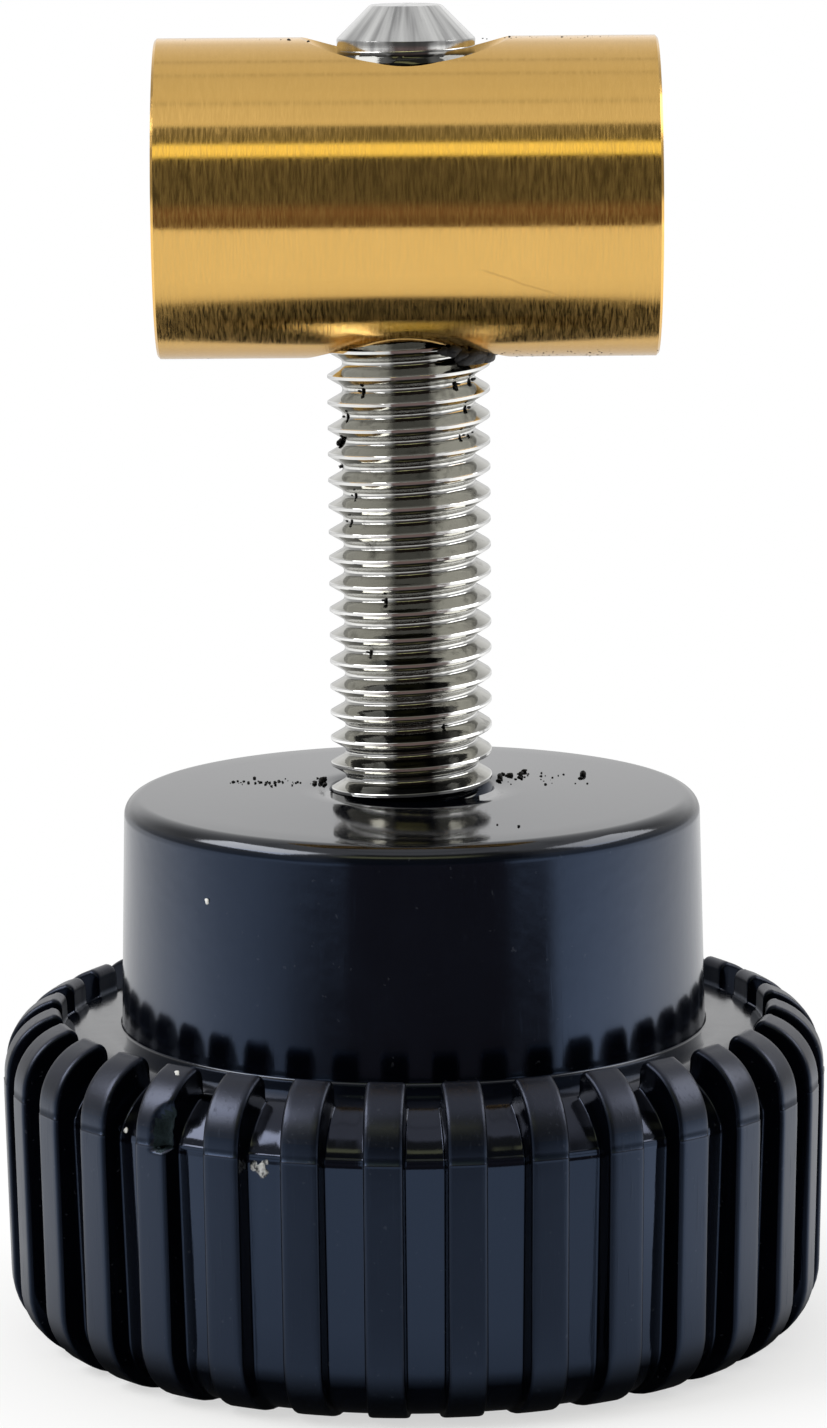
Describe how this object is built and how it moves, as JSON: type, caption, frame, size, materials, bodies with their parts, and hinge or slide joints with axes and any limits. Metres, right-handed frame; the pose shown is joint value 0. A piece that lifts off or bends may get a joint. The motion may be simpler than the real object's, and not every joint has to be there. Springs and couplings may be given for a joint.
{
  "type": "pump lid knob",
  "caption": "Ribbed round plastic knob with a plain hub, a threaded steel stud standing out of it and a brass barrel nut across the stud, for clamping down a pump lid.",
  "frame": {"origin": "centre of the knob's crown, on the surface it stands on", "axes": "+Z along the stud away from the knob, X along the barrel nut"},
  "size_m": [0.0398, 0.0398, 0.0641],
  "materials": {
    "knob_plastic": "semi-gloss moulded black",
    "stud_steel": "bright rolled thread",
    "nut_brass": "turned, lightly tarnished"
  },
  "bodies": {
    "knob": {"knob": "knob_plastic", "threaded_stud": "stud_steel"},
    "barrel_nut": {"barrel_nut": "nut_brass"}
  },
  "joints": [
    {"name": "nut_travel", "type": "slide", "parent": "knob", "child": "barrel_nut", "axis": [0, 0, 1], "range_m": [-0.0207, 0.006]}
  ]
}
